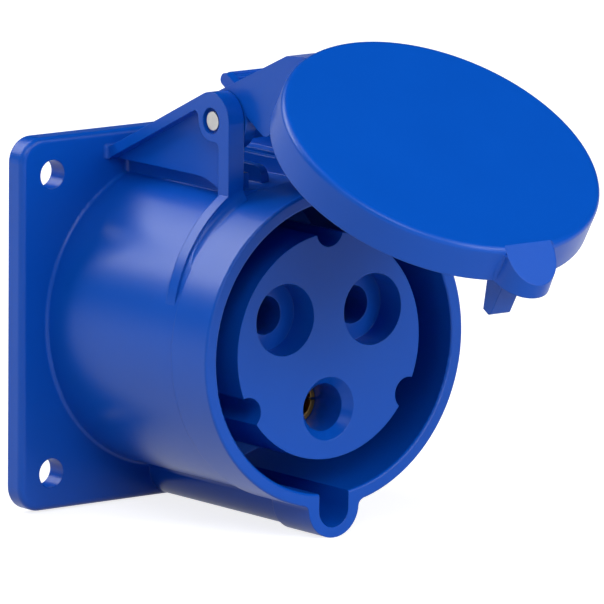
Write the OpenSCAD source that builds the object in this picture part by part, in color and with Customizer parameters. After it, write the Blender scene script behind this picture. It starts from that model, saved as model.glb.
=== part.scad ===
// Industrial panel socket, three poles, with a sprung hinged lid.
// Millimetres. Origin: centre of the flange's panel face. +Z up, -Y out of the panel.

/* [Flange] */
// Width and height of the square mounting flange
flange_size = 60; // [59:0.5:66]
// Thickness of the flange
flange_t = 3.5; // [3:0.1:4.5]
// Radius of the flange's corners
flange_corner_r = 4; // [3:0.5:6]
// Radius of the flange's front edge
flange_edge_r = 1; // [0.5:0.1:1.4]
// Distance between the mounting screws, both ways
mount_pitch = 48; // [47:0.5:50]
// Diameter of the mounting screw holes
mount_hole_d = 4.7; // [4:0.1:5.3]
// Mean diameter of the seal ring in the flange's panel face
seal_d = 54; // [53.5:0.1:55]
// Width of that seal ring
seal_w = 2.6; // [2:0.1:3]
// Depth of its groove
seal_t = 1.2; // [0.8:0.1:1.6]

/* [Socket body] */
// Distance from the panel face to the collar's front face
socket_depth = 45.65; // [44.5:0.05:48]
// Bore of the collar that the plug's shroud enters
socket_bore_d = 46.6; // [46.2:0.1:46.8]
// Wall of the front collar
collar_wall = 2.2; // [2:0.1:2.6]
// How far the front collar stands proud of the tube
collar_step = 0.6; // [0.3:0.1:0.8]
// Length of the front collar
collar_len = 8.85; // [8:0.05:9.5]
// Height of the foot of the tube's root fillet
root_r = 0.6; // [0.3:0.1:1]
// Edge radius at the collar's mouth
mouth_r = 0.4; // [0.2:0.1:0.6]
// Distance from the panel face to the front of the inner seat ring
seat_front = 15; // [14:0.5:16]
// Thickness of the inner seat ring
seat_t = 6; // [5:0.5:6.5]

/* [Keyway] */
// Width of the keyway at 6 o'clock
key_w = 5.8; // [5:0.1:5.9]
// Centre of the keyway's round bottom, below the socket's axis
key_drop = 25.8; // [25.4:0.1:25.9]
// Wall on both sides of the keyway in the collar
key_wall = 2.05; // [1.8:0.05:2.2]
// Wall below the keyway in the collar
key_floor = 1.65; // [1.5:0.05:1.7]
// How far the keyway's wall steps in behind the collar
key_step = 0.5; // [0.3:0.1:0.6]
// Fillet between the keyway's tunnel and the tube
key_fillet_r = 1.2; // [0.8:0.1:1.6]

/* [Hinge cheeks] */
// Hinge axis, forward of the panel face
hinge_out = 30.6; // [30:0.1:31]
// Hinge axis, above the socket's axis
hinge_up = 35.1; // [34.9:0.1:36]
// Half the distance over the cheeks' outer faces
cheek_half = 13.3; // [13:0.1:14]
// Thickness of a cheek's rim
cheek_t = 3; // [2.9:0.1:3.4]
// Depth of the pocket in a cheek's outer face
pocket_depth = 1.8; // [1.4:0.1:2]
// Round top of a cheek about the hinge axis
cheek_r = 4.6; // [4.4:0.1:4.8]
// Boss left round the pin in the pocket
boss_r = 3.3; // [3.1:0.1:3.5]
// Round of the pocket below the boss
pocket_round = 1; // [0.6:0.1:1.3]
// Round of the pocket's top corner
pocket_top_r = 0.9; // [0.5:0.1:1.2]
// Fillet at the cheeks' and the neck's roots on the flange
foot_r = 0.7; // [0.4:0.1:0.9]
// Fillet between the neck and the tube
neck_fillet_r = 0.35; // [0.2:0.05:0.5]
// Width of the pocket's sloping rim
rim_slope_w = 1.66; // [1.4:0.02:1.9]
// Width of the cheek's front rim
rim_front_w = 2.7; // [2.4:0.1:3]
// Height where the cheek's sloping top meets the flange
cheek_root_up = 27.3; // [26.5:0.1:28]
// Half the width of the neck below the cheeks
neck_half = 9.2; // [8.8:0.1:9.6]
// Height of the underside of the cheeks' sill
sill_up = 25.6; // [25.4:0.1:26]
// Thickness of the sill
sill_t = 1.2; // [1:0.1:1.4]
// Height of the floor between the cheeks
floor_up = 24.4; // [24.2:0.1:24.5]
// Height of the two guide ribs above that floor
guide_h = 2.85; // [2.4:0.05:3.1]
// Inner face of a guide rib, from the middle
guide_in = 2.7; // [2.5:0.1:2.9]
// Thickness of a guide rib
guide_t = 1.4; // [1.2:0.1:1.6]
// Round front corner of a guide rib
guide_r = 2.2; // [1.6:0.1:2.4]
// Diameter of the hinge pin
pin_d = 3; // [2.8:0.1:3.2]
// How far the pin's ends lie inside the cheeks' outer faces
pin_inset = 0.3; // [0.1:0.1:0.4]
// Diameter of the recess round the pin's end
pin_recess_d = 4.2; // [4:0.1:4.4]
// Depth of that recess
pin_recess_t = 0.8; // [0.5:0.1:1]

/* [Lid] */
// Angle at which the lid stands open, from closed
lid_open = 59.2; // [20:0.1:110]
// Diameter of the lid
lid_d = 52; // [51.5:0.1:52.4]
// Thickness of the lid over its rim
lid_t = 6; // [5.5:0.1:6.5]
// Edge radius of the lid's face
lid_edge_r = 1; // [0.6:0.1:1.4]
// Gap between the closed lid's rim and the collar
lid_gap = 0.75; // [0.6:0.05:1]
// Thickness of the lid's panel
lid_panel_t = 2; // [1.6:0.1:2.4]
// Wall of the lid's rim
lid_rim_w = 1.5; // [1.3:0.1:1.7]
// Width of the lid's seal ring
lid_seal_w = 2.7; // [2.4:0.1:2.9]
// Half the width of the hinge arm
arm_half = 10.1; // [9.9:0.05:10.18]
// Wall of the hinge arm
arm_wall = 2; // [1.7:0.1:2.3]
// Round end of the arm about the hinge axis
arm_r = 4.8; // [4.6:0.1:4.9]
// Gap between the arm's lower edge and the collar
arm_clear = 0.97; // [0.6:0.01:1.2]
// Round corner at the arm's lower edge
arm_corner_r = 1.8; // [1.4:0.1:2.2]
// Radius of the arm's barrel round the pin
barrel_r = 3.35; // [3.2:0.05:3.5]
// Radius of the thumb tab at the lid's rim
tab_r = 4.87; // [4.2:0.01:5]
// How much narrower the tab is at the lid's face
tab_draft = 0.32; // [0.1:0.02:0.5]
// Slope of the tab's front face
tab_slope = 30.5; // [26:0.5:36]
// Width of the key nose under the tab
nose_w = 3.8; // [3.2:0.1:4.2]
// Height of the finger lever above the hinge axis
lever_rise = 5.9; // [5.4:0.1:6.2]
// Thickness of the finger lever
lever_t = 1.6; // [1.4:0.1:1.8]
// Thickness of the lever's end walls along the arm
lever_end_t = 2.1; // [1.9:0.1:2.3]
// Height of the finger lever's grip ribs
grip_h = 0.35; // [0.25:0.05:0.45]
// Distance between the grip ribs
grip_pitch = 1.12; // [1:0.02:1.2]

/* [Contact insert] */
// Diameter of the insert's face
insert_d = 36; // [35.5:0.1:36.4]
// How far the insert's face lies behind the collar's face
insert_recess = 1.65; // [1:0.05:3]
// Diameter of the circle through the contacts
pin_circle_d = 20; // [19.5:0.1:20.4]
// Diameter of the line and neutral counterbores
entry_d = 11.4; // [10.8:0.1:11.6]
// Depth of those counterbores
entry_depth = 5.2; // [4:0.1:6]
// Diameter of the line and neutral pin entries
pole_hole_d = 6.1; // [5.8:0.1:6.3]
// Diameter of the earth pin entry
earth_hole_d = 7.6; // [7.5:0.1:7.9]
// Diameter of the earth entry's countersink
earth_mouth_d = 10.12; // [9.6:0.1:10.6]
// Depth of the earth entry's countersink
earth_mouth_depth = 1.5; // [1.2:0.1:1.8]
// Diameter of the three notches in the insert's rim
notch_d = 5.2; // [4.6:0.1:5.4]
// Thickness of the insert's rear disc
disc_t = 4; // [3.6:0.1:4.4]

/* [Contacts] */
// Diameter of the line and neutral pins that the contacts take
pole_pin_d = 5; // [4.8:0.1:5.1]
// Diameter of the earth pin that the earth contact takes
earth_pin_d = 6; // [5.8:0.1:6.1]
// Wall of a line or neutral sleeve
pole_wall = 1.05; // [0.95:0.05:1.1]
// Wall of the earth sleeve
earth_wall = 0.8; // [0.65:0.05:0.85]
// How far behind the insert's face the earth sleeve starts
earth_setback = 8.2; // [7.5:0.1:9]
// How far behind the insert's face the line and neutral sleeves start
pole_setback = 13.2; // [12.9:0.1:14]
// Width of the slots in a sleeve
slot_w = 0.4; // [0.3:0.05:0.6]
// Length of those slots
slot_len = 13; // [10:0.5:15]
// Width of a spring ring
ring_w = 2; // [1.6:0.1:2.4]
// Diameter of a contact's tail
tail_d = 5; // [4.6:0.1:5.2]

/* [Rear] */
// Length of the rear carrier
carrier_len = 17; // [16:0.5:19]
// Diameter of the rear carrier
carrier_d = 34.8; // [34:0.2:35.2]
// Diameter of the clamp screws
clamp_screw_d = 4; // [3.6:0.1:4.2]
// Distance from the insert's rear disc to the box clamps
clamp_setback = 8; // [7.6:0.1:8.4]
// Length of a box clamp along the contact
clamp_len = 7; // [6.5:0.1:7.4]
// Reach of a box clamp from its contact's axis to the socket's axis
clamp_in = 4; // [3.9:0.1:4.2]
// Reach of a box clamp from its contact's axis outwards
clamp_out = 6; // [5.9:0.1:6.3]
// Wall of a box clamp that holds its screw
clamp_wall = 2.4; // [2.2:0.1:2.6]
// Width of a box clamp
clamp_w = 7.4; // [7:0.1:7.6]
// Play between pieces that slide together
play = 0.06; // [0.04:0.01:0.1]

/* [Spring] */
// Diameter of the lid spring's wire
wire_d = 0.8; // [0.6:0.05:0.9]
// Turns of the lid spring
coil_turns = 5; // [3:1:6]
// Place of the coil's end with the rear leg, right of the middle
coil_x = 1.5; // [1.2:0.1:1.9]
// Length of the rear leg up to its bend
rear_leg = 17; // [14:0.5:20]
// Length of the leg in the arm
front_leg = 10; // [9:0.5:12]

/* [Hidden] */
$fn = 96;
socket_r = socket_bore_d / 2;
collar_r = socket_r + collar_wall;
tube_r = collar_r - collar_step;
collar_rear = socket_depth - collar_len;
face_out = socket_depth - insert_recess;
key_r = key_w / 2;
key_out_r = key_r + key_wall;
key_out_drop = key_drop + key_floor - key_wall;
seat_rear = seat_front - seat_t;
disc_rear = seat_rear - disc_t;
insert_r = insert_d / 2;
pole_circle_r = pin_circle_d / 2;
disc_r = socket_r - 0.1;
screw_circle_r = (insert_r + socket_r) / 2;
cheek_in = cheek_half - cheek_t;
web_face = cheek_half - pocket_depth;
cheek_front = hinge_out + cheek_r;
pocket_front = cheek_front - rim_front_w;
slope_run = hinge_out - flange_t;
slope_rise = hinge_up - cheek_root_up;
slope_far = sqrt(slope_run * slope_run + slope_rise * slope_rise);
slope_a = atan2(slope_rise, slope_run) + asin(cheek_r / slope_far);
lid_r = lid_d / 2;
lid_rear = socket_depth + lid_gap;
lid_front = lid_rear + lid_t;
arm_low = sqrt(pow(collar_r, 2) - pow(arm_half - arm_wall, 2)) + arm_clear;
arm_back = hinge_out + 3.4;
arm_slope = 35.3;
tab_drop = key_drop + 0.07;
nose_low = tab_drop - 0.77;
tab_crease = tab_drop - 1.3;
lever_back = hinge_out + 2.95;
lever_half = arm_half - 1.1;
arm_skin = 1.65;
coil_gap = 0.3;
coil_pitch = wire_d - 0.08;
coil_far = coil_x + coil_pitch * coil_turns;
seal_out_r = lid_r - lid_rim_w - play;
seal_in_r = seal_out_r - lid_seal_w;
pin_r = pin_d / 2;
coil_r = pin_r + 0.35 + wire_d;
pole_in_r = pole_pin_d / 2 + 0.02;
pole_out_r = pole_in_r + pole_wall;
earth_in_r = earth_pin_d / 2 - 0.1;
earth_out_r = earth_in_r + earth_wall;
chamber_r = pole_out_r + 0.25;
pole_front = face_out - pole_setback;
earth_front = face_out - earth_setback;
shelf_r = earth_hole_d / 2 + 1;
shelf_t = 2;
tail_r = tail_d / 2;
carrier_rear = disc_rear - carrier_len;
clamp_front = disc_rear - clamp_setback;
clamp_head_r = clamp_screw_d / 2 + 1.1;
seat_screw_r = 1.2;
seat_head_r = 2.2;
seat_head_t = 1.8;
middle_screw_r = 1.4;
middle_head_r = 2.9;
middle_head_t = 2;
middle_sunk = 0.2;
driver_slot_w = 0.8;
tight = 0.02;

blue = [0.02, 0.25, 0.68];
dark_rubber = [0.07, 0.07, 0.08];
steel = [0.75, 0.75, 0.73];
brass = [0.78, 0.62, 0.28];
grey = [0.45, 0.46, 0.48];

// Local x, y, z become X, Z and distance forward of the panel face.
module facing() {
    rotate([90, 0, 0]) children();
}

// A side sketch (forward, up) becomes a slab over x_max - t to x_max.
module slab(x_max, t) {
    translate([x_max, 0, 0])
        rotate([90, 0, -90])
            linear_extrude(t)
                children();
}

// Area between two edges that leave the corner p at angles a and b, and a round of radius r.
module spandrel(p, a, b, r) {
    half = (b - a) / 2;
    reach = r / tan(half);
    middle = r / sin(half) * [cos(a + half), sin(a + half)];
    translate(p)
        difference() {
            polygon([[0, 0], reach * [cos(a), sin(a)], middle, reach * [cos(b), sin(b)]]);
            translate(middle)
                circle(r);
        }
}

module both_sides() {
    children();
    mirror([1, 0, 0])
        children();
}

// Section of the flange from its middle or a corner's centre out to its rounded front edge.
module edge_profile(w) {
    square([w, flange_t - flange_edge_r]);
    square([w - flange_edge_r, flange_t]);
    translate([w - flange_edge_r, flange_t - flange_edge_r])
        circle(flange_edge_r);
}

// Square plate with round corners and a quarter-round front edge.
module flange_plate() {
    inset = flange_size / 2 - flange_corner_r;
    for (a = [0, 90, 180, 270])
        rotate([0, 0, a]) {
            rotate([90, 0, 90])
                linear_extrude(2 * inset, center = true)
                    edge_profile(flange_size / 2);
            translate([inset, inset, 0])
                rotate_extrude(angle = 90)
                    edge_profile(flange_corner_r);
        }
}

// Outside of the tube and the collar, turned about the socket's axis.
module tube_outside() {
    rotate_extrude()
        difference() {
            union() {
                square([tube_r, socket_depth - 2 * mouth_r]);
                square([tube_r + root_r, flange_t + root_r]);
                translate([0, collar_rear])
                    square([collar_r, collar_len - mouth_r]);
                translate([0, collar_rear])
                    square([collar_r - mouth_r, collar_len]);
                translate([collar_r - mouth_r, socket_depth - mouth_r])
                    circle(mouth_r);
            }
            translate([tube_r + root_r, flange_t + root_r])
                circle(root_r);
        }
}

// Inside of the socket: plug space, seat ring and the insert's seat behind it.
module socket_inside() {
    translate([0, 0, seat_front])
        cylinder(h = socket_depth, r = socket_r);
    translate([0, 0, -1])
        cylinder(h = socket_depth, r = insert_r + 0.4);
    translate([0, 0, -1])
        cylinder(h = seat_rear + 1, r = socket_r);
    rotate_extrude()
        difference() {
            translate([socket_r - 1, socket_depth - mouth_r])
                square([1 + mouth_r, 1 + mouth_r]);
            translate([socket_r + mouth_r, socket_depth - mouth_r])
                circle(mouth_r);
        }
}

// Outline of the keyway's tunnel with a fillet on both sides to a round of radius body_r.
module key_outline(r, body_r) {
    far = body_r + key_fillet_r - 0.02;
    near = r + key_fillet_r - 0.02;
    yc = (far * far - near * near + key_out_drop * key_out_drop) / (2 * key_out_drop);
    xc = sqrt(far * far - yc * yc);
    translate([0, -key_out_drop])
        circle(r);
    translate([-r, -key_out_drop])
        square([2 * r, 6]);
    for (s = [-1, 1])
        difference() {
            polygon([[0, -key_out_drop],
                     [s * xc, -yc],
                     [s * xc * (body_r - 1) / far, -yc * (body_r - 1) / far],
                     [0, -key_out_drop + 6]]);
            translate([s * xc, -yc])
                circle(key_fillet_r);
        }
}

module key_tunnel() {
    linear_extrude(collar_rear)
        key_outline(key_out_r - key_step, tube_r);
    translate([0, 0, collar_rear - 0.5])
        linear_extrude(collar_len + 0.5)
            key_outline(key_out_r, collar_r - 0.1);
}

module key_slot() {
    translate([0, 0, seat_front])
        linear_extrude(socket_depth)
            union() {
                translate([0, -key_drop])
                    circle(key_r);
                translate([-key_r, -key_drop])
                    square([key_w, 6]);
            }
}

// Side outline of a cheek: sloping top, round end about the hinge axis, upright front.
module cheek_outline(low, inset = 0) {
    r = cheek_r - inset;
    polygon([[flange_t - 1, low],
             [flange_t - 1, cheek_root_up - tan(slope_a) - inset / cos(slope_a)],
             [hinge_out - r * sin(slope_a), hinge_up + r * cos(slope_a)],
             [hinge_out, hinge_up],
             [hinge_out + r, hinge_up],
             [hinge_out + r, low]]);
    translate([hinge_out, hinge_up])
        circle(r);
}

// Pocket in a cheek's outer face: the boss runs over into the front rim in a round.
module pocket_outline() {
    rim_r = cheek_r - rim_slope_w;
    side = hinge_out - boss_r;
    top = hinge_up + rim_r * cos(slope_a) + (rim_r * sin(slope_a) - boss_r) * tan(slope_a);
    ahead = pocket_front - pocket_round - hinge_out;
    foot = [hinge_out + ahead, hinge_up - sqrt(pow(boss_r + pocket_round, 2) - pow(ahead, 2))];
    difference() {
        intersection() {
            cheek_outline(0, rim_slope_w);
            translate([flange_t, 0])
                square([pocket_front - flange_t, 2 * hinge_up]);
        }
        translate([hinge_out, hinge_up])
            circle(boss_r);
        translate([side, hinge_up])
            square([2 * boss_r + rim_front_w, 2 * cheek_r]);
        difference() {
            polygon([[hinge_out, hinge_up], foot, [pocket_front, foot[1]], [pocket_front, hinge_up]]);
            translate(foot)
                circle(pocket_round);
        }
        spandrel([side, top], 180 + slope_a, 270, pocket_top_r);
    }
}

// One cheek: rim, web and the sill on which it stands, cut to the front rim below.
module cheek() {
    difference() {
        slab(cheek_half, cheek_t)
            cheek_outline(sqrt(pow(tube_r, 2) - pow(cheek_half, 2)) - 3);
        slab(cheek_half + 1, pocket_depth + 1)
            pocket_outline();
        slab(cheek_half + 1, cheek_t + 2)
            under_sill();
    }
}

// Space under the cheek's web: level, then falling to the front rim.
module under_sill() {
    fall = 20;
    bend = hinge_out - 4.2;
    bend_r = 9;
    reach = bend_r * tan(fall / 2);
    low = sill_up - (pocket_front - bend) * tan(fall);
    polygon([[flange_t, 0], [flange_t, sill_up], [bend - reach, sill_up],
             [bend + reach * cos(fall), sill_up - reach * sin(fall)],
             [pocket_front, low], [pocket_front, 0]]);
    intersection() {
        translate([bend - reach, sill_up - bend_r])
            circle(bend_r);
        translate([flange_t, 0])
            square([pocket_front - flange_t, sill_up]);
    }
}

// Neck between tube and hinge: walls, sill and the low floor between the cheeks.
module neck() {
    wall_in = neck_half - 1.4;
    neck_front = hinge_out + 2.6;
    difference() {
        union() {
            slab(neck_half, 2 * neck_half)
                translate([flange_t - 1, tube_r / 2])
                    square([neck_front - flange_t + 1, sill_up + sill_t - tube_r / 2]);
            slab(cheek_in + 0.5, 2 * cheek_in + 1)
                translate([flange_t - 1, sill_up])
                    square([neck_front - flange_t + 1, sill_t]);
            slab(cheek_in + 0.5, 2 * cheek_in + 1)
                translate([neck_front - 0.5, tube_r / 2])
                    square([cheek_front - neck_front + 0.5, floor_up - tube_r / 2]);
            facing()
                both_sides()
                    linear_extrude(neck_front)
                        neck_fillet();
        }
        slab(wall_in, 2 * wall_in)
            translate([flange_t, floor_up])
                square([socket_depth, 8]);
    }
}

// Section of the fillet between the neck's wall and the tube.
module neck_fillet() {
    out = neck_half + neck_fillet_r - 0.01;
    up = sqrt(pow(tube_r + neck_fillet_r - 0.01, 2) - pow(out, 2));
    difference() {
        polygon([[neck_half - 0.3, up], [out, up], [out, up] * tube_r / (tube_r + neck_fillet_r) * 0.99,
                 [neck_half - 0.3, up * 0.96]]);
        translate([out, up])
            circle(neck_fillet_r);
    }
}

// Two thin ribs on the floor, between which the spring's rear leg stands.
module leg_guides() {
    top = floor_up + guide_h;
    front = hinge_out + 1.15;
    both_sides()
        slab(guide_in + guide_t, guide_t) {
            translate([flange_t - 0.5, floor_up - 3])
                square([front - guide_r - flange_t + 0.5, guide_h + 3]);
            translate([flange_t - 0.5, floor_up - 3])
                square([front - flange_t + 0.5, guide_h + 3 - guide_r]);
            translate([front - guide_r, top - guide_r])
                circle(guide_r);
        }
}

// Floor between the cheeks' feet, forward to the collar.
module front_floor() {
    intersection() {
        slab(cheek_in + 0.3, 2 * cheek_in + 0.6)
            translate([cheek_front - 1, tube_r / 2])
                square([collar_rear - cheek_front + 1.2, floor_up - tube_r / 2]);
        facing()
            cylinder(h = collar_rear + 1, r = collar_r - 0.04);
    }
}

// Fillets on the flange at a cheek's root, and below it at the neck's wall.
module cheek_foot() {
    facing() {
        translate([-cheek_half, cheek_root_up, flange_t]) {
            root_strip(cheek_root_up - sill_up);
            rotate([0, 0, 90])
                rotate_extrude(angle = 90)
                    foot_section(0);
            rotate([90, 0, 90])
                linear_extrude(cheek_t)
                    foot_section(0.2);
        }
        translate([-neck_half, sill_up, flange_t])
            root_strip(3);
    }
}

module root_strip(h) {
    rotate([90, 0, 0])
        linear_extrude(h)
            mirror([1, 0, 0])
                foot_section(0.2);
}

// Section of such a fillet with its corner at the origin, sunk by back into the wall.
module foot_section(back) {
    difference() {
        translate([-back, -0.2])
            square([foot_r + back, foot_r + 0.2]);
        translate([foot_r + 0.02, foot_r + 0.02])
            circle(foot_r);
    }
}

// Crescent rib from the cheek's foot down the tube, and the hollow in front of it.
module crescent() {
    rise = 3.7;
    crest_r = tube_r - 0.85;
    back = cheek_front - 2.3;
    sweep_r = collar_rear - cheek_front;
    sweep_end_r = 0.6 * sweep_r;
    difference() {
        union() {
            translate([0, rise, back])
                cylinder(h = cheek_front - back, r = crest_r);
            intersection() {
                translate([0, rise, cheek_front - 0.2])
                    cylinder(h = sweep_r + 0.2, r = crest_r - 0.3);
                rotate_extrude()
                    difference() {
                        translate([tube_r - 2, cheek_front - 0.2])
                            square([2 + collar_step + sweep_r, sweep_r + 0.2]);
                        translate([collar_r + sweep_r, collar_rear])
                            circle(sweep_r);
                    }
            }
        }
        translate([-cheek_in, 0, back - 1])
            cube([2 * cheek_in, 2 * tube_r, 8]);
        both_sides()
            translate([0, 2 * tube_r, 0])
                rotate([90, 0, 0])
                    linear_extrude(2 * tube_r)
                        spandrel([cheek_in, collar_rear], -90, 0, sweep_end_r);
    }
}

module housing() {
    color(blue)
        difference() {
            union() {
                facing() {
                    flange_plate();
                    tube_outside();
                    key_tunnel();
                    crescent();
                }
                both_sides() {
                    cheek();
                    cheek_foot();
                }
                neck();
                front_floor();
                leg_guides();
            }
            facing() {
                socket_inside();
                key_slot();
                mount_holes();
                seal_groove();
                seat_screw_holes();
            }
            hinge_bore();
        }
}

module mount_holes() {
    for (sx = [-1, 1])
        for (sy = [-1, 1])
            translate([sx * mount_pitch / 2, sy * mount_pitch / 2, -1])
                cylinder(h = flange_t + 2, r = mount_hole_d / 2);
}

module ring(r_out, r_in, h) {
    difference() {
        cylinder(h = h, r = r_out);
        translate([0, 0, -1])
            cylinder(h = h + 2, r = r_in);
    }
}

module seal_groove() {
    translate([0, 0, -1])
        ring((seal_d + seal_w) / 2 + 0.05, (seal_d - seal_w) / 2 - 0.05, seal_t + 1);
}

// Three places at 90, 210 and 330 degrees, between the contacts.
module at_screws() {
    for (a = [90, 210, 330])
        rotate([0, 0, a])
            translate([screw_circle_r, 0, 0])
                children();
}

module seat_screw_holes() {
    at_screws()
        translate([0, 0, seat_rear - 1])
            cylinder(h = seat_t, r = seat_screw_r + tight);
}

module hinge_bore() {
    translate([-cheek_half - 1, -hinge_out, hinge_up])
        rotate([0, 90, 0])
            cylinder(h = 2 * cheek_half + 2, r = pin_r + tight);
    for (s = [-1, 1])
        translate([s * (cheek_half - pin_recess_t / 2 + 0.5), -hinge_out, hinge_up])
            rotate([0, 90, 0])
                cylinder(h = pin_recess_t + 1, r = pin_recess_d / 2, center = true);
}

module flange_seal() {
    color(dark_rubber)
        facing()
            ring((seal_d + seal_w) / 2, (seal_d - seal_w) / 2, seal_t);
}

module hinge_pin() {
    color(steel)
        translate([pin_inset - cheek_half, -hinge_out, hinge_up])
            rotate([0, 90, 0])
                cylinder(h = 2 * (cheek_half - pin_inset), r = pin_r);
}

// The lid is drawn closed and swung open about the hinge axis.
module swung() {
    translate([0, -hinge_out, hinge_up])
        rotate([-lid_open, 0, 0])
            translate([0, hinge_out, -hinge_up])
                children();
}

module lid_disc() {
    difference() {
        rotate_extrude() {
            translate([0, lid_rear])
                square([lid_r, lid_t - lid_edge_r]);
            translate([0, lid_rear])
                square([lid_r - lid_edge_r, lid_t]);
            translate([lid_r - lid_edge_r, lid_front - lid_edge_r])
                circle(lid_edge_r);
        }
        tab_slope_cut(tab_r - tab_draft);
    }
}

// Underside of the lid: seal channel outside, shallow dish inside.
module lid_hollow() {
    inner = seal_in_r - play - 1.4;
    translate([0, 0, lid_rear - 1])
        ring(seal_out_r + play, seal_in_r - play, 1 + lid_t - lid_panel_t - 1);
    translate([0, 0, lid_rear - 1])
        cylinder(h = 1 + lid_t - lid_panel_t, r = inner);
}

// Thumb tab with draft and small fillets to the lid's rim.
module lid_tab() {
    fillet_r = 0.6;
    far = lid_r + fillet_r - 0.02;
    near = tab_r + fillet_r - 0.02;
    yc = (far * far - near * near + tab_drop * tab_drop) / (2 * tab_drop);
    xc = sqrt(far * far - yc * yc);
    difference() {
        union() {
            translate([0, -tab_drop, lid_rear])
                cylinder(h = lid_t, r1 = tab_r, r2 = tab_r - tab_draft);
            translate([0, 0, lid_rear])
                linear_extrude(lid_t - lid_edge_r)
                    for (s = [-1, 1])
                        difference() {
                            polygon([[0, -tab_drop], [s * xc, -yc], [s * xc * 0.93, -yc * 0.93],
                                     [0, 4 - lid_r]]);
                            translate([s * xc, -yc])
                                circle(fillet_r);
                        }
        }
        tab_slope_cut(2 * tab_r);
    }
}

// Space in front of the tab's sloping face, half wide on each side of the middle.
module tab_slope_cut(half) {
    translate([0, -tab_crease, lid_front])
        rotate([tab_slope, 0, 0])
            translate([-half, -lid_r, 0])
                cube([2 * half, lid_r, lid_r]);
}

// Side outline of the hinge arm, closed.
module arm_outline(inset = 0) {
    r = arm_r - inset;
    ux = cos(arm_slope);
    uy = sin(arm_slope);
    run = 18.6;
    root_up = 22.9;
    root_low = 18;
    knee = [hinge_out + r * uy + run * ux, hinge_up + r * ux - run * uy];
    polygon([[hinge_out, hinge_up],
             [hinge_out + r * uy, hinge_up + r * ux],
             knee,
             [lid_front - inset, root_up - inset],
             [lid_front - inset, root_low],
             [lid_rear, root_low],
             [lid_rear, arm_low],
             [arm_back, arm_low],
             [arm_back, hinge_up - 3]]);
    translate([hinge_out, hinge_up])
        circle(r);
}

module arm_solid() {
    difference() {
        slab(arm_half, 2 * arm_half)
            arm_outline();
        slab(arm_half + 1, 2 * arm_half + 2)
            difference() {
                translate([arm_back - 1, arm_low - 1])
                    square([arm_corner_r + 1, arm_corner_r + 1]);
                translate([arm_back + arm_corner_r, arm_low + arm_corner_r])
                    circle(arm_corner_r);
            }
    }
}

// Hollow of the arm, open below and behind, which leaves the barrel round the pin.
module arm_hollow() {
    half = arm_half - arm_wall;
    around = arm_r + 2;
    difference() {
        slab(half, 2 * half) {
            difference() {
                arm_outline(arm_skin);
                translate([lid_rear, 0])
                    square([20, lid_r - lid_rim_w]);
            }
            translate([arm_back - 6, arm_low - 3])
                square([lid_rear - arm_back + 6, 6.2]);
            translate([hinge_out - around, hinge_up - around])
                square([around + 1.9, 2 * around]);
            translate([hinge_out - around, hinge_up - around])
                square([around + arm_back - hinge_out + 0.1, around]);
        }
        on_hinge(-half - 1)
            cylinder(h = 2 * half + 2, r = barrel_r);
    }
    on_hinge(coil_x - wire_d / 2 - coil_gap)
        cylinder(h = coil_far - coil_x + wire_d + 2 * coil_gap, r = barrel_r + 0.1);
}

// Children's z axis becomes the hinge axis, from x to the right.
module on_hinge(x) {
    translate([x, -hinge_out, hinge_up])
        rotate([0, 90, 0])
            children();
}

// Lug on the arm's right wall, on which the spring's front leg presses.
module spring_lug() {
    wall = arm_half - arm_wall / 2;
    start = coil_far - wire_d - play;
    slab(wall, wall - start)
        translate([hinge_out, hinge_up])
            rotate(-arm_slope)
                translate([front_leg - 3.5, -coil_r - wire_d / 2 - play - 1.5])
                    square([2.5, 1.5]);
}

// Finger lever across the arm's top, with end walls and three grip ribs.
module finger_lever() {
    top = hinge_up + lever_rise;
    foot = hinge_up + 2;
    slab(lever_half, 2 * lever_half) {
        translate([lever_back, foot])
            square([lever_t, top - lever_t / 2 - foot]);
        translate([lever_back + lever_t / 2, top - lever_t / 2])
            circle(lever_t / 2);
    }
    for (k = [0, 1, 2])
        slab(lever_half - 1, 2 * (lever_half - 1))
            translate([lever_back + lever_t, top - 0.45 - grip_pitch * k])
                circle(grip_h);
    both_sides()
        slab(lever_half, 1.4) {
            translate([lever_back, foot])
                square([lever_end_t, top - lever_end_t / 2 - foot]);
            translate([lever_back + lever_end_t / 2, top - lever_end_t / 2])
                circle(lever_end_t / 2);
        }
}

// Wedge-shaped nose that enters the keyway when the lid closes.
module key_nose() {
    tip = lid_rear - 7.9;
    tip_r = 0.6;
    slab(nose_w / 2, nose_w) {
        polygon([[tip, 1.9 - nose_low],
                 [tip, tip_r - nose_low],
                 [tip + tip_r, -nose_low],
                 [lid_front - 1, -nose_low],
                 [lid_front - 1, 5 - nose_low],
                 [lid_rear, 4.8 - nose_low]]);
        translate([tip + tip_r, tip_r - nose_low])
            circle(tip_r);
    }
}

module lid() {
    color(blue)
        swung()
            difference() {
                union() {
                    difference() {
                        union() {
                            facing() {
                                lid_disc();
                                lid_tab();
                            }
                            arm_solid();
                            finger_lever();
                        }
                        facing()
                            lid_hollow();
                        arm_hollow();
                    }
                    key_nose();
                    spring_lug();
                }
                on_hinge(-20)
                    cylinder(h = 40, r = pin_r + 0.05);
            }
}

module lid_seal() {
    color(dark_rubber)
        swung()
            facing()
                difference() {
                    translate([0, 0, socket_depth + 0.05])
                        ring(seal_out_r, seal_in_r, lid_t - lid_panel_t - 1 + lid_gap - 0.05);
                    translate([-nose_w / 2 - 0.3, -2 * lid_r, 0])
                        cube([nose_w + 0.6, 2 * lid_r, 3 * lid_front]);
                }
}

// Local x, y become the coil's section plane, starting at the panel side and turning up.
module on_coil(x, start) {
    translate([x, -hinge_out, hinge_up])
        rotate([90, 0, 90])
            rotate([0, 0, start])
                children();
}

module wire_bend(r, sweep) {
    rotate_extrude(angle = sweep, $fn = 72)
        translate([r, 0])
            circle(wire_d / 2, $fn = 36);
}

module coil_turn(sweep) {
    wire_bend(coil_r, sweep);
}

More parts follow.
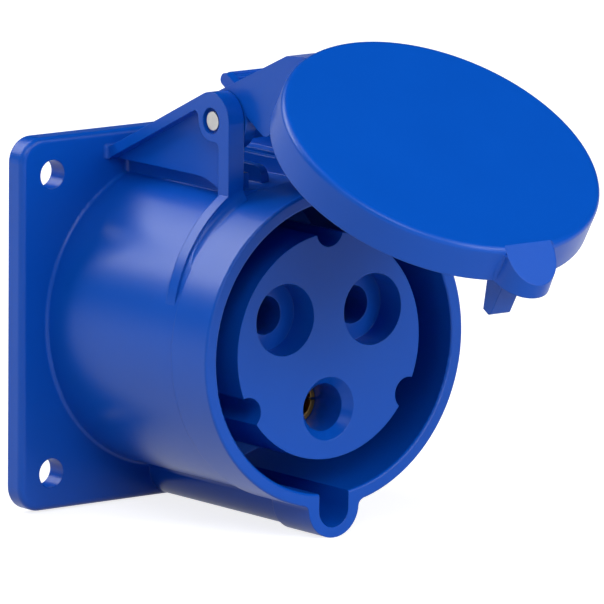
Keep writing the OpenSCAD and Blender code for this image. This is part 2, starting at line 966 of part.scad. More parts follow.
// Torsion spring: rear leg back and down between the guide ribs, coil round the pin, leg in the arm.
module lid_spring() {
    front_a = 270 - lid_open + arm_slope;
    bend_r = 2 * wire_d;
    bend_out = hinge_out - rear_leg;
    bend_up = hinge_up - coil_r - bend_r;
    color(steel) {
        on_coil(coil_x, 0)
            coil_turn(270);
        on_coil(coil_x, 270)
            translate([coil_r, 0, 0])
                rotate([-90, 0, 0])
                    cylinder(h = rear_leg, r = wire_d / 2);
        translate([coil_x, -bend_out, bend_up])
            rotate([90, 0, 90])
                wire_bend(bend_r, 90);
        translate([coil_x, bend_r - bend_out, tube_r + play])
            cylinder(h = bend_up - tube_r - play, r = wire_d / 2);
        for (k = [1 : coil_turns - 1])
            on_coil(coil_x + coil_pitch * k, 0)
                coil_turn(360);
        on_coil(coil_far, front_a)
            coil_turn(270);
        on_coil(coil_far, front_a)
            translate([coil_r, 0, 0])
                rotate([90, 0, 0])
                    cylinder(h = front_leg, r = wire_d / 2);
    }
}

module at_pole(a) {
    rotate([0, 0, a])
        translate([pole_circle_r, 0, 0])
            children();
}

// Front insulator with the three pin entries, its rear disc screwed to the housing's seat.
module contact_insert() {
    color(blue)
        facing()
            difference() {
                union() {
                    translate([0, 0, disc_rear])
                        cylinder(h = face_out - disc_rear, r = insert_r);
                    translate([0, 0, disc_rear])
                        cylinder(h = disc_t, r = disc_r);
                }
                for (a = [90, 210, 330])
                    rotate([0, 0, a])
                        translate([insert_r + 0.4, 0, seat_front + 2])
                            cylinder(h = socket_depth, r = notch_d / 2);
                for (a = [30, 150])
                    at_pole(a) {
                        translate([0, 0, face_out - entry_depth])
                            cylinder(h = entry_depth + 1, r = entry_d / 2);
                        cylinder(h = socket_depth, r = pole_hole_d / 2);
                        cylinder(h = pole_front + 0.3, r = chamber_r);
                    }
                at_pole(270) {
                    cylinder(h = socket_depth, r = earth_hole_d / 2);
                    translate([0, 0, face_out - earth_mouth_depth])
                        cylinder(h = earth_mouth_depth + 0.01, r1 = earth_hole_d / 2,
                                 r2 = earth_mouth_d / 2);
                }
                for (a = [30, 150, 270])
                    at_pole(a)
                        cylinder(h = disc_rear + shelf_t, r = shelf_r + play);
                at_screws()
                    cylinder(h = socket_depth, r = seat_screw_r + 0.4);
                cylinder(h = disc_rear + 11, r = middle_screw_r + tight);
            }
}

module insert_screws() {
    color(steel)
        facing()
            at_screws()
                difference() {
                    union() {
                        translate([0, 0, disc_rear - seat_head_t])
                            cylinder(h = seat_head_t, r = seat_head_r);
                        translate([0, 0, disc_rear])
                            cylinder(h = disc_t + seat_t - 1.5, r = seat_screw_r);
                    }
                    driver_slot(disc_rear - seat_head_t, seat_head_r);
                }
}

// Slot across a screw's head whose outer face lies at height z.
module driver_slot(z, r) {
    translate([-r - 1, -driver_slot_w / 2, z - 1])
        cube([2 * r + 2, driver_slot_w, 1.8]);
}

// Rear insulator, which holds the contacts' collars against the insert.
module insert_base() {
    color(grey)
        facing()
            difference() {
                translate([0, 0, carrier_rear])
                    cylinder(h = carrier_len, r = carrier_d / 2);
                for (a = [30, 150, 270])
                    at_pole(a) {
                        translate([0, 0, carrier_rear - 1])
                            cylinder(h = carrier_len + 2, r = tail_r + play);
                        translate([-clamp_in - 0.1, -clamp_w / 2 - play, carrier_rear - 1])
                            cube([20, clamp_w + 2 * play, clamp_front - carrier_rear + 1]);
                    }
                translate([0, 0, carrier_rear - 1])
                    cylinder(h = carrier_len + 2, r = middle_screw_r + 0.2);
                translate([0, 0, carrier_rear - 1])
                    cylinder(h = 1 + middle_sunk + middle_head_t, r = middle_head_r + 0.3);
            }
}

module carrier_screw() {
    color(steel)
        facing()
            difference() {
                union() {
                    translate([0, 0, carrier_rear + middle_sunk])
                        cylinder(h = middle_head_t, r = middle_head_r);
                    translate([0, 0, carrier_rear + middle_sunk + middle_head_t])
                        cylinder(h = carrier_len + 7, r = middle_screw_r);
                }
                driver_slot(carrier_rear + middle_sunk, middle_head_r);
            }
}

// Turned contact: slotted sleeve, collar between insert and carrier, tail with a flat for the wire.
module contact(out_r, in_r, front, slots, turn) {
    color(brass)
        difference() {
            union() {
                translate([0, 0, disc_rear])
                    cylinder(h = front - disc_rear, r = out_r);
                translate([0, 0, disc_rear])
                    cylinder(h = shelf_t, r = shelf_r);
                translate([0, 0, carrier_rear + 0.5])
                    cylinder(h = disc_rear - carrier_rear, r = tail_r);
            }
            translate([0, 0, front - 20])
                cylinder(h = 21, r = in_r);
            translate([0, 0, front - 1 - ring_w - play])
                ring(out_r + 1, out_r - 0.35, ring_w + 2 * play);
            for (k = [0 : slots - 1])
                rotate([0, 0, turn + 360 * k / slots])
                    translate([0, -slot_w / 2, front - slot_len])
                        cube([out_r + 1, slot_w, slot_len + 1]);
            translate([-0.4, -tail_r - 1, carrier_rear - 1])
                cube([tail_r + 2, tail_d + 2, clamp_front - carrier_rear + 0.5]);
        }
}

// Split ring of spring steel in the groove at a sleeve's mouth.
module spring_ring(out_r, front) {
    color(steel)
        difference() {
            translate([0, 0, front - 1 - ring_w])
                ring(out_r + 0.02, out_r - 0.33, ring_w);
            translate([0, -0.6, front - 2 - ring_w])
                rotate([0, 0, 200])
                    cube([2 * out_r, 1.2, ring_w + 2]);
        }
}

module line_contact() {
    facing()
        at_pole(150)
            contact(pole_out_r, pole_in_r, pole_front, 4, -150);
}

module neutral_contact() {
    facing()
        at_pole(30)
            contact(pole_out_r, pole_in_r, pole_front, 4, -30);
}

module earth_contact() {
    facing()
        at_pole(270)
            contact(earth_out_r, earth_in_r, earth_front, 4, -270);
}

module line_spring_ring() {
    facing()
        at_pole(150)
            rotate([0, 0, -150])
                spring_ring(pole_out_r, pole_front);
}

module neutral_spring_ring() {
    facing()
        at_pole(30)
            rotate([0, 0, -30])
                spring_ring(pole_out_r, pole_front);
}

module earth_spring_ring() {
    facing()
        at_pole(270)
            rotate([0, 0, -270])
                spring_ring(earth_out_r, earth_front);
}

// Box clamp round a contact's tail, its screw pointing at the socket's axis.
module clamp() {
    color(steel)
        translate([0, 0, clamp_front - clamp_len])
            difference() {
                translate([-clamp_in, -clamp_w / 2, 0])
                    cube([clamp_in + clamp_out, clamp_w, clamp_len]);
                translate([0, 0, -1])
                    cylinder(h = clamp_len + 2, r = tail_r + tight);
                translate([0, -tail_r - tight, -1])
                    cube([clamp_out - clamp_wall, 2 * (tail_r + tight), clamp_len + 2]);
                translate([0, 0, clamp_len / 2])
                    rotate([0, 90, 0])
                        cylinder(h = clamp_out + 2, r = clamp_screw_d / 2 + tight);
            }
}

module line_clamp() {
    facing()
        at_pole(150)
            clamp();
}

module neutral_clamp() {
    facing()
        at_pole(30)
            clamp();
}

module earth_clamp() {
    facing()
        at_pole(270)
            clamp();
}

module terminal_screws() {
    wall_in = clamp_out - clamp_wall;
    color(steel)
        facing()
            for (a = [30, 150, 270])
                at_pole(a)
                    translate([0, 0, clamp_front - clamp_len / 2])
                        rotate([0, 90, 0])
                            difference() {
                                union() {
                                    translate([0, 0, wall_in - 0.6])
                                        cylinder(h = clamp_wall + 0.6, r = clamp_screw_d / 2);
                                    translate([0, 0, clamp_out])
                                        cylinder(h = 2.2, r = clamp_head_r);
                                }
                                translate([-driver_slot_w / 2, -4, clamp_out + 1.4])
                                    cube([driver_slot_w, 8, 2]);
                            }
}

housing();
flange_seal();
lid();
lid_seal();
hinge_pin();
lid_spring();
contact_insert();
insert_base();
insert_screws();
carrier_screw();
line_contact();
neutral_contact();
earth_contact();
line_spring_ring();
neutral_spring_ring();
earth_spring_ring();
line_clamp();
neutral_clamp();
earth_clamp();
terminal_screws();
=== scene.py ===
"""Studio scene of an industrial panel socket with a sprung hinged lid.

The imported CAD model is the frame. Its solids keep their places and get their finishes here, and
the few pieces that the CAD draws plainly are built again as meshes. Lengths are in metres: X to
the right seen from the front, -Y out of the panel, +Z up. The origin lies on the socket's axis,
in the panel face.
"""

from __future__ import annotations

import logging
import math
from abc import ABC, abstractmethod
from dataclasses import dataclass
from enum import Enum

import bmesh
import bpy
from mathutils import Matrix, Vector

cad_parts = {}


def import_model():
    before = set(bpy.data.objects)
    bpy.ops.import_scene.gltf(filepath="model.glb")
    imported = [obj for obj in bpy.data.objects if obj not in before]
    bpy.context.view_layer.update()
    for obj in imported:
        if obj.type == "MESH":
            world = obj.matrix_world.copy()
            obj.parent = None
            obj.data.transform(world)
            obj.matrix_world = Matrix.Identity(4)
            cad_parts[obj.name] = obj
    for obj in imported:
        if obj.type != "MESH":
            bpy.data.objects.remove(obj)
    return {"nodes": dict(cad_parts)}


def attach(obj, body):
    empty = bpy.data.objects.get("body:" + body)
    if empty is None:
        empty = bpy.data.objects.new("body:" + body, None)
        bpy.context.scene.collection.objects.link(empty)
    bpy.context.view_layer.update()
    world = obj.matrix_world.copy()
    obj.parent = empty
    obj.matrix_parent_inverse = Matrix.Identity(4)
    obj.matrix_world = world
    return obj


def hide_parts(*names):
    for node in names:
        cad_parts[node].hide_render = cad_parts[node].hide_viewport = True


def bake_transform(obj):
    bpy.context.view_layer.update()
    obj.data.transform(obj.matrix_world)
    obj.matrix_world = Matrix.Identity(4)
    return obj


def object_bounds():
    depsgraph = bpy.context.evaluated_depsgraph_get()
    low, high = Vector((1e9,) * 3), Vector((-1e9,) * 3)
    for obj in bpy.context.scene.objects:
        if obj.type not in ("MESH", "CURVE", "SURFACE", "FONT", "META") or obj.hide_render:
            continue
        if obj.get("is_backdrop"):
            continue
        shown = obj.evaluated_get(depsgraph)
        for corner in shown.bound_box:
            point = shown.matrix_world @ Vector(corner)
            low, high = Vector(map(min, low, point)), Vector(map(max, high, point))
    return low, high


log = logging.getLogger("panel_socket")

MM = 0.001
Colour = tuple[float, float, float]
Span = tuple[float, float]

NOISE_SPAN: Span = (0.3, 0.7)  # where nearly all of a noise's values lie
UNIT_SPAN: Span = (0.0, 1.0)


class Body(Enum):
    """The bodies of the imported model."""

    SOCKET = "socket"
    LID = "lid_body"


class Slot(Enum):
    """The record's material slots named on the pieces made here; nothing here puts a piece into
    one.
    """

    RUBBER = "black_rubber"
    SPRING = "spring_steel"


@dataclass(frozen=True)
class Noise:
    """A noise pattern: features per metre, octaves, and how strong the finer octaves are."""

    scale: float
    octaves: float
    strength: float = 0.55


class NodeGraph:
    """A material's or world's node tree with short calls for adding and joining nodes."""

    EDGE_SAMPLES = 6

    def __init__(self, tree: bpy.types.NodeTree) -> None:
        """Starts from an empty tree.

        Args:
            tree: the node tree of a material or world.
        """
        self.tree = tree
        tree.nodes.clear()

    def add(self, kind: str, **settings: object) -> bpy.types.Node:
        """Adds a node.

        Args:
            kind: the node's class name, such as ShaderNodeTexNoise.
            settings: attributes of the node, or default values of its inputs by name, with
                underscores for spaces.

        Returns:
            The new node.
        """
        node = self.tree.nodes.new(kind)
        for name, value in settings.items():
            if hasattr(node, name):
                setattr(node, name, value)
            else:
                node.inputs[name.replace("_", " ")].default_value = value
        return node

    def join(self, source: bpy.types.NodeSocket, target: bpy.types.NodeSocket) -> None:
        """Links an output to an input."""
        self.tree.links.new(source, target)

    def end(self, kind: str, shader: bpy.types.Node) -> None:
        """Leads a shader into an output node of this kind."""
        self.join(shader.outputs[0], self.add(kind).inputs["Surface"])

    def noise(self, pattern: Noise) -> bpy.types.NodeSocket:
        """Draws noise in Object coordinates.

        Args:
            pattern: the noise's scale and octaves.

        Returns:
            The noise's factor.
        """
        place = self.add("ShaderNodeTexCoord")
        noise = self.add("ShaderNodeTexNoise", Scale=pattern.scale, Detail=pattern.octaves,
                         Roughness=pattern.strength)
        self.join(place.outputs["Object"], noise.inputs["Vector"])
        return noise.outputs["Fac"]

    def remap(self, value: bpy.types.NodeSocket, source: Span,
              target: Span) -> bpy.types.NodeSocket:
        """Maps a value from one range to another.

        Args:
            value: the value; beyond the first range it counts as the range's end.
            source: the range that it comes from.
            target: the range that it is mapped to.

        Returns:
            The mapped value.
        """
        node = self.add("ShaderNodeMapRange", From_Min=source[0], From_Max=source[1],
                        To_Min=target[0], To_Max=target[1])
        self.join(value, node.inputs["Value"])
        return node.outputs["Result"]

    def blend(self, value: bpy.types.NodeSocket, first: Colour,
              second: Colour) -> bpy.types.NodeSocket:
        """Blends two colours.

        Args:
            value: the factor, 0 for the first colour and 1 for the second.
            first: the first colour.
            second: the second colour.

        Returns:
            The blended colour.
        """
        node = self.add("ShaderNodeMix", data_type="RGBA")
        colours = [socket for socket in node.inputs if socket.type == "RGBA"]
        colours[0].default_value = (*first, 1.0)
        colours[1].default_value = (*second, 1.0)
        self.join(value, node.inputs["Factor"])
        return next(socket for socket in node.outputs if socket.type == "RGBA")

    def relief(self, pattern: Noise, depth: float, edge_r: float) -> bpy.types.NodeSocket:
        """Makes sharp edges look rounded and lays a fine relief over the surface.

        Args:
            pattern: the relief's noise.
            depth: the relief's height.
            edge_r: the radius that sharp edges seem to have.

        Returns:
            The shading normal.
        """
        edge = self.add("ShaderNodeBevel", samples=self.EDGE_SAMPLES, Radius=edge_r)
        bump = self.add("ShaderNodeBump", Distance=depth, Strength=1.0)
        self.join(self.noise(pattern), bump.inputs["Height"])
        self.join(edge.outputs["Normal"], bump.inputs["Normal"])
        return bump.outputs["Normal"]


@dataclass(frozen=True)
class Finish:
    """A procedural finish: two colours in patches, uneven roughness and a fine relief.

    The patches, the grain of the roughness and the relief are a noise each, and gloss is the
    shader's specular level.
    """

    name: str
    colour: Colour
    patch_colour: Colour
    roughness: Span
    patches: Noise
    grain: Noise
    relief: Noise
    relief_depth: float
    edge_r: float
    metallic: float = 0.0
    gloss: float = 0.5

    def build(self) -> bpy.types.Material:
        """Makes the material.

        Returns:
            The new material.
        """
        material = bpy.data.materials.new(self.name)
        material.use_nodes = True
        graph = NodeGraph(material.node_tree)
        shader = graph.add("ShaderNodeBsdfPrincipled", Metallic=self.metallic,
                           Specular_IOR_Level=self.gloss)
        patches = graph.remap(graph.noise(self.patches), NOISE_SPAN, UNIT_SPAN)
        colour = graph.blend(patches, self.colour, self.patch_colour)
        roughness = graph.remap(graph.noise(self.grain), NOISE_SPAN, self.roughness)
        normal = graph.relief(self.relief, self.relief_depth, self.edge_r)
        graph.join(colour, shader.inputs["Base Color"])
        graph.join(roughness, shader.inputs["Roughness"])
        graph.join(normal, shader.inputs["Normal"])
        graph.end("ShaderNodeOutputMaterial", shader)
        return material


@dataclass(frozen=True)
class MouldedPlastic(Finish):
    """Injection-moulded plastic with faint flow clouds, fine matt grain and slight orange peel."""

    roughness: Span = (0.29, 0.31)
    patches: Noise = Noise(90.0, 4.0)
    grain: Noise = Noise(900.0, 2.0)
    relief: Noise = Noise(260.0, 1.0)
    relief_depth: float = 0.0025 * MM
    edge_r: float = 0.22 * MM
    gloss: float = 0.27


@dataclass(frozen=True)
class TurnedMetal(Finish):
    """Plated or turned metal with light tarnish, uneven polish and fine ripples."""

    roughness: Span = (0.26, 0.34)
    patches: Noise = Noise(700.0, 4.0)
    grain: Noise = Noise(2500.0, 3.0)
    relief: Noise = Noise(900.0, 2.0)
    relief_depth: float = 0.002 * MM
    edge_r: float = 0.15 * MM
    metallic: float = 1.0


class Finishes:
    """The socket's finishes, each made once, and the CAD solids that wear them."""

    BLUE = MouldedPlastic("blue_moulding", (0.0008, 0.0785, 0.49), (0.001, 0.0825, 0.508))
    INSERT = MouldedPlastic("blue_insert", (0.0008, 0.0785, 0.485), (0.001, 0.0825, 0.5))
    GREY = MouldedPlastic("grey_insulator", (0.19, 0.195, 0.205), (0.215, 0.22, 0.23),
                          roughness=(0.42, 0.5), gloss=0.35)
    RUBBER = MouldedPlastic("black_seal", (0.012, 0.012, 0.013), (0.018, 0.018, 0.019),
                            roughness=(0.55, 0.68), gloss=0.3)
    STEEL = TurnedMetal("zinc_plating", (0.60, 0.595, 0.575), (0.56, 0.555, 0.535),
                        roughness=(0.3, 0.38))
    SPRING = TurnedMetal("spring_wire", (0.55, 0.55, 0.56), (0.48, 0.48, 0.49),
                         roughness=(0.28, 0.38))
    BRASS = TurnedMetal("turned_brass", (0.56, 0.35, 0.11), (0.48, 0.29, 0.09),
                        roughness=(0.3, 0.4))

    SOLIDS: dict[Finish, tuple[str, ...]] = {
        BLUE: ("housing", "lid"),
        INSERT: ("contact_insert",),
        GREY: ("insert_base",),
        STEEL: ("hinge_pin", "insert_screws", "carrier_screw", "line_clamp", "neutral_clamp",
                "earth_clamp", "terminal_screws"),
        SPRING: ("line_spring_ring", "neutral_spring_ring", "earth_spring_ring"),
        BRASS: ("line_contact", "neutral_contact", "earth_contact"),
    }

    def __init__(self) -> None:
        """Starts with no material made."""
        self.made: dict[Finish, bpy.types.Material] = {}

    def __getitem__(self, finish: Finish) -> bpy.types.Material:
        """Gives a finish's material, which is made when it is first asked for.

        Args:
            finish: one of the finishes above.

        Returns:
            Its material.
        """
        if finish not in self.made:
            self.made[finish] = finish.build()
        return self.made[finish]

    def dress(self, nodes: dict[str, bpy.types.Object]) -> None:
        """Puts the finishes into the CAD solids' material slots.

        Args:
            nodes: the CAD solids by name.
        """
        for finish, names in self.SOLIDS.items():
            for name in names:
                slots = nodes[name].data.materials
                slots.clear()
                slots.append(self[finish])
                log.info("%s finished in %s", name, finish.name)


@dataclass(frozen=True)
class Hinge:
    """The lid's hinge: a point of its axis, along X, and the degrees the lid is open at rest."""

    place: Vector = Vector((0.0, -30.6 * MM, 35.1 * MM))
    lid_open: float = 59.2

    def swung(self) -> Matrix:
        """Turns what is drawn at the closed lid to its place at rest."""
        turn = Matrix.Rotation(math.radians(-self.lid_open), 4, "X")
        return Matrix.Translation(self.place) @ turn @ Matrix.Translation(-self.place)


class Piece(ABC):
    """A mesh piece that stands for a CAD solid and takes over its place."""

    node: str
    slot: Slot
    finish: Finish

    @abstractmethod
    def shape(self) -> bmesh.types.BMesh:
        """Draws the piece in its place at rest."""

    def attach(self, piece: bpy.types.Object) -> None:
        """Fastens the piece to its body; by default to the socket."""
        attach(piece, Body.SOCKET.value)

    def build(self, finishes: Finishes) -> bpy.types.Object:
        """Makes the object, finishes it and lets it stand for its CAD solid.

        Args:
            finishes: the scene's materials.

        Returns:
            The new object.
        """
        mesh = bpy.data.meshes.new(f"{self.node}_detail")
        shape = self.shape()
        bmesh.ops.recalc_face_normals(shape, faces=shape.faces)
        shape.to_mesh(mesh)
        shape.free()
        mesh.shade_smooth()
        mesh.materials.append(finishes[self.finish])
        piece = bpy.data.objects.new(f"{self.node}_detail", mesh)
        bpy.context.scene.collection.objects.link(piece)
        self.attach(piece)
        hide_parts(self.node)
        log.info("%s stands for %s", piece.name, self.node)
        return piece


@dataclass(frozen=True)
class TorsionSpring(Piece):
    """The lid's spring: rear leg between the guide ribs, coil round the pin, leg in the arm.

    The coil's wire runs from coil_start to coil_end along X. front_angle is where it turns into
    the front leg, in degrees from +Y towards +Z, and foot_z is where the bent rear leg ends.
    """

    hinge: Hinge
    node: str = "lid_spring"
    slot: Slot = Slot.SPRING
    finish: Finish = Finishes.SPRING
    wire_r: float = 0.4 * MM
    coil_r: float = 2.65 * MM
    coil_start: float = 1.5 * MM
    coil_end: float = 5.1 * MM
    turns: int = 4
    rear_leg: float = 17.0 * MM
    bend_r: float = 1.6 * MM
    foot_z: float = 24.96 * MM
    front_leg: float = 10.0 * MM
    front_angle: float = 246.1
    end_bevel: float = 0.1 * MM
    bevel_segments: int = 2
    sides: int = 14
    bend_steps: int = 8
    turn_steps: int = 32

    @staticmethod
    def straight(shape: bmesh.types.BMesh, rim: list[bmesh.types.BMEdge],
                 way: Vector) -> list[bmesh.types.BMEdge]:
        """Draws the wire straight on.

        Args:
            shape: the wire so far.
            rim: the edges round its open end.
            way: how far and whither it goes.

        Returns:
            The edges round the new end.
        """
        made = bmesh.ops.extrude_edge_only(shape, edges=rim)["geom"]
        verts = {item for item in made if isinstance(item, bmesh.types.BMVert)}
        edges = [item for item in made if isinstance(item, bmesh.types.BMEdge)]
        bmesh.ops.translate(shape, verts=list(verts), vec=way)
        return [edge for edge in edges if verts.issuperset(edge.verts)]

    @staticmethod
    def curved(shape: bmesh.types.BMesh, rim: list[bmesh.types.BMEdge], centre: Vector,
               degrees: float, steps: int, aside: float = 0.0) -> list[bmesh.types.BMEdge]:
        """Leads the wire round an axis along X.

        Args:
            shape: the wire so far.
            rim: the edges round its open end.
            centre: a point of the axis.
            degrees: the angle.
            steps: how many steps the angle is made in.
            aside: how far it moves along the axis meanwhile.

        Returns:
            The edges round the new end.
        """
        verts = {vert for edge in rim for vert in edge.verts}
        made = bmesh.ops.spin(
            shape, geom=list(verts) + rim, cent=centre, axis=(1.0, 0.0, 0.0),
            dvec=(aside / steps, 0.0, 0.0), angle=math.radians(degrees), steps=steps,
            use_merge=False, use_normal_flip=False, use_duplicate=False)["geom_last"]
        return [item for item in made if isinstance(item, bmesh.types.BMEdge)]

    def shape(self) -> bmesh.types.BMesh:
        """Leads the wire from its foot over the bend, along the ribs, round the pin to the arm.

        Returns:
            The wire with closed, rounded ends.
        """
        shape = bmesh.new()
        low = self.hinge.place.z - self.coil_r
        far = self.hinge.place.y + self.rear_leg
        foot = Vector((self.coil_start, far + self.bend_r, self.foot_z))
        bend = Vector((self.coil_start, far, low - self.bend_r))
        bmesh.ops.create_circle(shape, cap_ends=False, radius=self.wire_r, segments=self.sides,
                                matrix=Matrix.Translation(foot))
        rim = self.straight(shape, list(shape.edges), Vector((0.0, 0.0, bend.z - foot.z)))
        rim = self.curved(shape, rim, bend, 90.0, self.bend_steps)
        rim = self.straight(shape, rim, Vector((0.0, -self.rear_leg, 0.0)))
        bottom = 270.0
        sweep = bottom - self.front_angle + 360.0 * self.turns
        rim = self.curved(shape, rim, self.hinge.place, -sweep, self.turn_steps * self.turns,
                          self.coil_end - self.coil_start)
        ahead = math.radians(self.front_angle - 90.0)
        way = self.front_leg * Vector((0.0, math.cos(ahead), math.sin(ahead)))
        self.straight(shape, rim, way)
        open_ends = [edge for edge in shape.edges if edge.is_boundary]
        bmesh.ops.holes_fill(shape, edges=open_ends, sides=self.sides)
        bmesh.ops.bevel(shape, geom=open_ends, offset=self.end_bevel, offset_type="OFFSET",
                        affect="EDGES", segments=self.bevel_segments, profile=0.5, material=-1)
        return shape

    def attach(self, piece: bpy.types.Object) -> None:
        """Bakes the spring's place into its mesh; the spring is fastened to no body.

        Args:
            piece: the spring's object.
        """
        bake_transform(piece)


@dataclass(frozen=True)
class LipSeal(Piece):
    """Rubber ring about the socket's axis, with two sealing lips on its rear face.

    LIP is one lip from the ring's rim to its middle, in shares of the ring's width and of the
    lip's depth, which lip_deep and lip_share limit as a length and as a share of the ring.
    lip_rear and front are how far forward of the panel face the ring reaches, and gap is half
    the width of a cut at 6 o'clock.
    """

    LIP = ((0.0, 1.0), (0.06, 0.35), (0.16, 0.06), (0.26, 0.0), (0.36, 0.12), (0.42, 0.5),
           (0.47, 0.85))

    node: str
    r_in: float
    r_out: float
    lip_rear: float
    front: float
    body: Body
    place: Matrix
    gap: float = 0.0
    lip_deep: float = 0.55 * MM
    lip_share: float = 0.45
    slot: Slot = Slot.RUBBER
    finish: Finish = Finishes.RUBBER
    steps: int = 144

    def section(self) -> list[tuple[float, float]]:
        """Gives the ring's section.

        Returns:
            Radius and distance forward of the panel face of each corner, in order.
        """
        wide = self.r_out - self.r_in
        deep = min(self.lip_deep, self.lip_share * (self.front - self.lip_rear))
        rear = [(self.r_in + wide * t, self.lip_rear + deep * h) for t, h in self.LIP]
        rear += [(self.r_out - wide * t, self.lip_rear + deep * h) for t, h in reversed(self.LIP)]
        return rear + [(self.r_out, self.front), (self.r_in, self.front)]

    def shape(self) -> bmesh.types.BMesh:
        """Spins the section about the socket's axis.

        Returns:
            The closed ring, or the cut one with its two end faces.
        """
        shape = bmesh.new()
        open_half = math.asin(self.gap / self.r_in)
        start = Matrix.Rotation(open_half, 3, "Y")
        verts = [shape.verts.new(start @ Vector((0.0, -d, -r))) for r, d in self.section()]
        section = shape.faces.new(verts)
        closed = self.gap == 0.0
        bmesh.ops.spin(shape, geom=[section], cent=(0.0, 0.0, 0.0), axis=(0.0, 1.0, 0.0),
                       dvec=(0.0, 0.0, 0.0), angle=math.tau - 2.0 * open_half, steps=self.steps,
                       use_merge=closed, use_normal_flip=False, use_duplicate=False)
        if closed:  # the section that was spun is still there, as a wall inside the ring
            walls = [face for face in shape.faces if len(face.verts) > 4]
            bmesh.ops.delete(shape, geom=walls, context="FACES")
        bmesh.ops.transform(shape, matrix=self.place, verts=shape.verts)
        return shape

    def attach(self, piece: bpy.types.Object) -> None:
        """Fastens the ring to its body."""
        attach(piece, self.body.value)


@dataclass(frozen=True)
class Softbox:
    """A square soft light that faces the socket.
    """

    name: str
    azimuth: float
    elevation: float
    distance: float
    size: float
    level: float

    def build(self, centre: Vector) -> bpy.types.Object:
        """Makes the light.

        Args:
            centre: the point that the light faces.

        Returns:
            The light's object.
        """
        a, e = math.radians(self.azimuth), math.radians(self.elevation)
        back = Vector((math.sin(a) * math.cos(e), -math.cos(a) * math.cos(e), math.sin(e)))
        lamp = bpy.data.lights.new(self.name, "AREA")
        lamp.shape = "SQUARE"
        lamp.size = self.size
        lamp.energy = self.level * (math.pi * self.distance) ** 2
        light = bpy.data.objects.new(self.name, lamp)
        light.location = centre + back * self.distance
        light.rotation_mode = "QUATERNION"
        light.rotation_quaternion = (-back).to_track_quat("-Z", "Y")
        light.visible_camera = False
        bpy.context.scene.collection.objects.link(light)
        return light


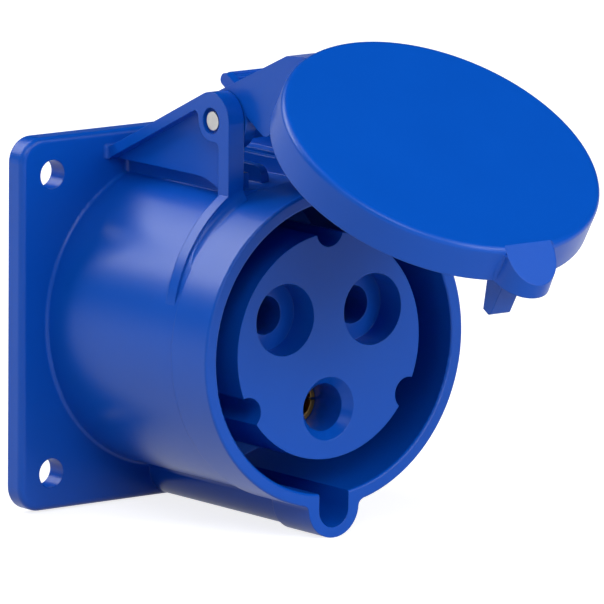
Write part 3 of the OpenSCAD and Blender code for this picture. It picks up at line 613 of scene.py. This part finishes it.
@dataclass(frozen=True)
class Studio:
    """Pale room: floor, horizon and soft lights.

    The horizon darkens to the ceiling's brightness between the two values of horizon, which are
    sines of elevation. floor_grey is what the lights fall on, while floor_seen and floor_mirrored
    are what the floor adds of its own for the camera and in reflections.
    """

    floor_half: float = 3.0
    floor_grey: float = 0.5
    floor_seen: float = 0.82
    floor_mirrored: float = 0.58
    ambient: float = 0.08
    horizon: Span = (0.02, 0.14)
    ceiling: float = 0.0
    centre: Vector = Vector((0.0, -30.0 * MM, 0.0))
    lights: tuple[Softbox, ...] = (
        Softbox("front", 15.0, 25.0, 1.0, 0.5, 0.319),
        Softbox("front_low", 11.0, 12.0, 1.0, 0.6, 0.230),
        Softbox("front_left", -30.0, 38.0, 1.0, 0.5, 0.336),
        Softbox("front_right", 30.0, 38.0, 1.0, 0.5, 0.136),
        Softbox("left", -60.0, 38.0, 1.0, 0.5, 0.071),
        Softbox("left_low", -90.0, 12.0, 1.0, 0.5, 0.050),
        Softbox("left_top", -120.0, 64.0, 1.0, 0.5, 0.136),
        Softbox("back_left_top", -165.0, 48.0, 1.0, 0.5, 0.236),
        Softbox("back_left", -152.0, 37.0, 1.0, 0.5, 0.260),
        Softbox("back_left_edge", -140.0, 32.0, 1.0, 0.3, 0.177),
    )

    def world(self) -> None:
        """Makes the horizon, which is only seen and mirrored, and an even ambient light."""
        world = bpy.data.worlds.new("studio")
        bpy.context.scene.world = world
        world.use_nodes = True
        graph = NodeGraph(world.node_tree)
        place = graph.add("ShaderNodeTexCoord")
        split = graph.add("ShaderNodeSeparateXYZ")
        graph.join(place.outputs["Generated"], split.inputs["Vector"])
        height = graph.remap(split.outputs["Z"], self.horizon, (1.0, self.ceiling))
        seen = graph.add("ShaderNodeBackground")
        graph.join(height, seen.inputs["Strength"])
        room = graph.add("ShaderNodeBackground", Strength=self.ambient)
        mix = graph.add("ShaderNodeMixShader")
        graph.join(self.direct_ray(graph), mix.inputs["Fac"])
        graph.join(room.outputs["Background"], mix.inputs[1])
        graph.join(seen.outputs["Background"], mix.inputs[2])
        graph.end("ShaderNodeOutputWorld", mix)

    @staticmethod
    def direct_ray(graph: NodeGraph) -> bpy.types.NodeSocket:
        """Tells the rays that see or mirror a surface from those that only light it.

        Args:
            graph: the tree that needs it.

        Returns:
            One for camera, glossy and transmission rays, otherwise nought.
        """
        path = graph.add("ShaderNodeLightPath")
        first = graph.add("ShaderNodeMath", operation="MAXIMUM")
        both = graph.add("ShaderNodeMath", operation="MAXIMUM")
        graph.join(path.outputs["Is Camera Ray"], first.inputs[0])
        graph.join(path.outputs["Is Glossy Ray"], first.inputs[1])
        graph.join(first.outputs[0], both.inputs[0])
        graph.join(path.outputs["Is Transmission Ray"], both.inputs[1])
        return both.outputs[0]

    def floor_finish(self) -> bpy.types.Material:
        """Makes the floor's material, which looks white and keeps a light shadow.

        Returns:
            The new material.
        """
        material = bpy.data.materials.new("floor_white")
        material.use_nodes = True
        graph = NodeGraph(material.node_tree)
        grey = (self.floor_grey, self.floor_grey, self.floor_grey, 1.0)
        matt = graph.add("ShaderNodeBsdfDiffuse", Color=grey)
        glow = graph.add("ShaderNodeEmission", Color=(1.0, 1.0, 1.0, 1.0))
        path = graph.add("ShaderNodeLightPath")
        mirrored = graph.add("ShaderNodeMath", operation="MULTIPLY")
        graph.join(self.direct_ray(graph), mirrored.inputs[0])
        mirrored.inputs[1].default_value = self.floor_mirrored
        level = graph.add("ShaderNodeMath", operation="MULTIPLY_ADD")
        graph.join(path.outputs["Is Camera Ray"], level.inputs[0])
        level.inputs[1].default_value = self.floor_seen - self.floor_mirrored
        graph.join(mirrored.outputs[0], level.inputs[2])
        graph.join(level.outputs[0], glow.inputs["Strength"])
        both = graph.add("ShaderNodeAddShader")
        graph.join(matt.outputs[0], both.inputs[0])
        graph.join(glow.outputs[0], both.inputs[1])
        graph.end("ShaderNodeOutputMaterial", both)
        return material

    def floor(self, height: float) -> None:
        """Lays the floor.

        Args:
            height: where the socket stands on it.
        """
        mesh = bpy.data.meshes.new("floor")
        shape = bmesh.new()
        bmesh.ops.create_grid(shape, x_segments=1, y_segments=1, size=self.floor_half)
        bmesh.ops.translate(shape, verts=shape.verts, vec=(0.0, 0.0, height))
        shape.to_mesh(mesh)
        shape.free()
        mesh.materials.append(self.floor_finish())
        floor = bpy.data.objects.new("floor", mesh)
        bpy.context.scene.collection.objects.link(floor)
        floor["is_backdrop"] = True

    def build(self, floor_height: float) -> None:
        """Builds the room and its lights.

        Args:
            floor_height: the floor's height.
        """
        bpy.context.scene.view_settings.view_transform = "Standard"
        self.world()
        self.floor(floor_height)
        for light in self.lights:
            light.build(self.centre)
            log.info("light %s", light.name)


@dataclass(frozen=True)
class PhotoCamera:
    """The photograph's viewpoint: angles in degrees, place in metres, lens and sensor in mm."""

    azimuth: float = -37.90568
    elevation: float = 10.02298
    roll: float = 0.48294
    location: tuple[float, float, float] = (-0.983146, -1.299719, 0.288816)
    lens: float = 616.528
    sensor: float = 36.0
    clip: Span = (0.05, 20.0)

    def build(self) -> bpy.types.Object:
        """Makes the scene's camera.

        Returns:
            The camera's object.
        """
        a, e, t = map(math.radians, (self.azimuth, self.elevation, self.roll))
        right = Vector((math.cos(a), math.sin(a), 0.0))
        back = Vector((math.sin(a) * math.cos(e), -math.cos(a) * math.cos(e), math.sin(e)))
        up = back.cross(right)
        turned_right = math.cos(t) * right + math.sin(t) * up
        turned_up = math.cos(t) * up - math.sin(t) * right
        data = bpy.data.cameras.new("photo_camera")
        data.lens = self.lens
        data.sensor_width = self.sensor
        data.clip_start, data.clip_end = self.clip
        camera = bpy.data.objects.new("photo_camera", data)
        turn = Matrix((turned_right, turned_up, back)).transposed()
        camera.matrix_world = Matrix.Translation(self.location) @ turn.to_4x4()
        bpy.context.scene.collection.objects.link(camera)
        bpy.context.scene.camera = camera
        return camera


def main() -> None:
    """Builds the whole scene."""
    logging.basicConfig(level=logging.INFO, format="%(message)s")
    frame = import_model()
    cad_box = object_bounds()
    PhotoCamera().build()
    Studio().build(cad_box[0].z)
    finishes = Finishes()
    finishes.dress(frame["nodes"])
    hinge = Hinge()
    pieces: tuple[Piece, ...] = (
        TorsionSpring(hinge),
        LipSeal("lid_seal", r_in=21.74 * MM, r_out=24.44 * MM, lip_rear=45.7 * MM,
                front=49.4 * MM, body=Body.LID, place=hinge.swung(), gap=2.2 * MM),
        LipSeal("flange_seal", r_in=25.7 * MM, r_out=28.3 * MM, lip_rear=0.0,
                front=1.2 * MM, body=Body.SOCKET, place=Matrix.Identity(4)),
    )
    for piece in pieces:
        piece.build(finishes)


if __name__ == "__main__":
    main()
